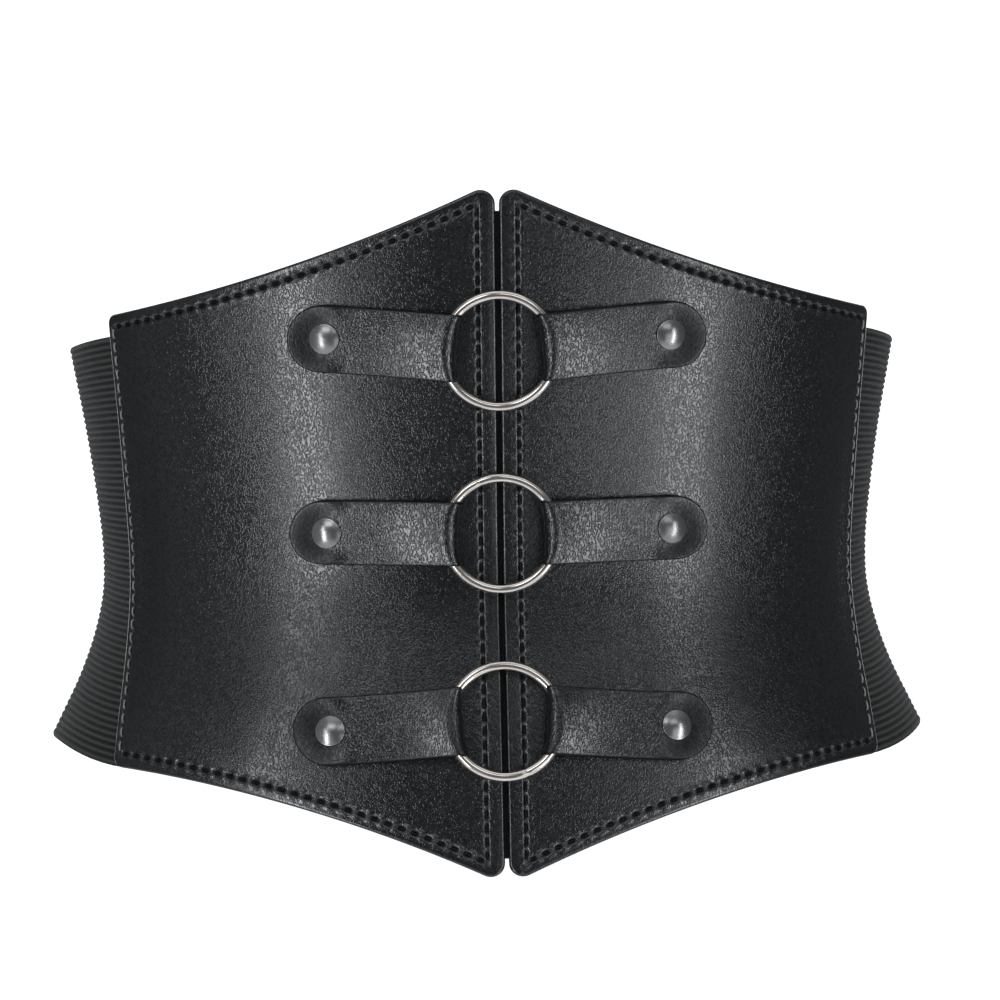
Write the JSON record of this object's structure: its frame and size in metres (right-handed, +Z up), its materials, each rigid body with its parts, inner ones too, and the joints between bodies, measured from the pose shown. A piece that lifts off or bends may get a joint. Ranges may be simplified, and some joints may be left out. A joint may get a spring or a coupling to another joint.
{
  "type": "corset belt",
  "caption": "Wide corset belt with pointed leather front panels, a ribbed elastic back, and rings held by riveted straps over the centre gap.",
  "frame": {"origin": "on the axis of the waist, at the height of the waistline", "axes": "+Z up along the waist's axis, -Y out of the front, +X to the right of someone who looks at the front"},
  "size_m": [0.2814, 0.2014, 0.2088],
  "materials": {
    "panel_leather": "semi-gloss black, fine pebbled grain",
    "strap_leather": "satin black, fine grain",
    "elastic": "matte black, ribbed",
    "placket": "matte black",
    "ring_metal": "polished nickel",
    "rivet_metal": "polished dark nickel"
  },
  "bodies": {
    "root": {"elastic_band": "elastic", "front_placket": "placket", "panel_left": "panel_leather", "panel_right": "panel_leather", "ring_top": "ring_metal", "ring_middle": "ring_metal", "ring_bottom": "ring_metal", "strap_top_left": "strap_leather", "strap_top_right": "strap_leather", "strap_middle_left": "strap_leather", "strap_middle_right": "strap_leather", "strap_bottom_left": "strap_leather", "strap_bottom_right": "strap_leather", "rivet_top_left": "rivet_metal", "rivet_top_right": "rivet_metal", "rivet_middle_left": "rivet_metal", "rivet_middle_right": "rivet_metal", "rivet_bottom_left": "rivet_metal", "rivet_bottom_right": "rivet_metal"}
  },
  "joints": []
}
